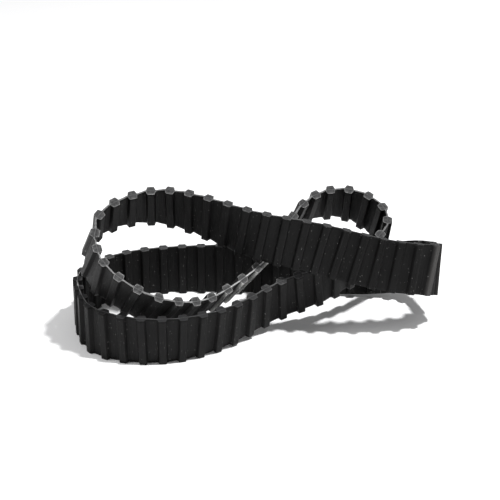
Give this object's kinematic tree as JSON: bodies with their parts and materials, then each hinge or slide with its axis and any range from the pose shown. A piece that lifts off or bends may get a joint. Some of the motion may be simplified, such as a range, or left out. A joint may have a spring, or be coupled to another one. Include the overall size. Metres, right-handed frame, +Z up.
{
  "type": "double-sided timing belt",
  "caption": "Endless double-sided toothed timing belt lying loosely looped on its edge, with trapezoidal teeth on both faces to drive pulleys on either side.",
  "frame": {"origin": "centre of the bounding box in plan, at the height of the surface that the belt lies on", "axes": "+X along the loop's longest extent towards its narrow raised end, +Y towards the back of the loop, +Z up"},
  "size_m": [0.1808, 0.0962, 0.0731],
  "materials": {
    "neoprene": "moulded black rubber, ground grey and dusty on the cut edges",
    "nylon_facing": "tightly woven black nylon facing with a faint satin sheen and fine ribs across the belt",
    "glass_cord": "pale twisted glass fibre tension cord"
  },
  "bodies": {
    "belt": {"outer_fabric": "nylon_facing", "inner_fabric": "nylon_facing", "tension_cords": "glass_cord", "outer_rubber_upper": "neoprene", "outer_rubber_inner": "neoprene", "outer_rubber_ring": "neoprene", "outer_rubber_front": "neoprene", "outer_rubber_left": "neoprene", "outer_rubber_back": "neoprene", "inner_rubber_upper": "neoprene", "inner_rubber_inner": "neoprene", "inner_rubber_ring": "neoprene", "inner_rubber_front": "neoprene", "inner_rubber_left": "neoprene", "inner_rubber_back": "neoprene"},
    "front_length": {"front_link_outer_fabric": "nylon_facing", "front_link_outer_rubber": "neoprene", "front_link_tension_cords": "glass_cord", "front_link_inner_rubber": "neoprene", "front_link_inner_fabric": "nylon_facing"},
    "turn_length": {"turn_link_outer_fabric": "nylon_facing", "turn_link_outer_rubber": "neoprene", "turn_link_tension_cords": "glass_cord", "turn_link_inner_rubber": "neoprene", "turn_link_inner_fabric": "nylon_facing"},
    "back_length": {"back_link_outer_fabric": "nylon_facing", "back_link_outer_rubber": "neoprene", "back_link_tension_cords": "glass_cord", "back_link_inner_rubber": "neoprene", "back_link_inner_fabric": "nylon_facing"}
  },
  "joints": [
    {"name": "front_flex", "type": "hinge", "parent": "belt", "child": "front_length", "pos_m": [0.05263, -0.01435, 0.03976], "axis": [0.09, 0.369, 0.9251], "range_deg": [-2, 2], "stiffness_Nm_per_rad": 0.05},
    {"name": "turn_flex", "type": "hinge", "parent": "front_length", "child": "turn_length", "pos_m": [0.07972, -0.00929, 0.03274], "axis": [0.09, 0.369, 0.9251], "range_deg": [-4, 4], "stiffness_Nm_per_rad": 0.05},
    {"name": "back_flex", "type": "hinge", "parent": "turn_length", "child": "back_length", "pos_m": [0.07777, 0.02055, 0.01932], "axis": [0.09, 0.369, 0.9251], "range_deg": [-6, 6], "stiffness_Nm_per_rad": 0.05}
  ],
  "couplings": [
    {"joint": "turn_flex", "follows": "front_flex", "ratio": -1.75},
    {"joint": "back_flex", "follows": "front_flex", "ratio": 2.57}
  ]
}
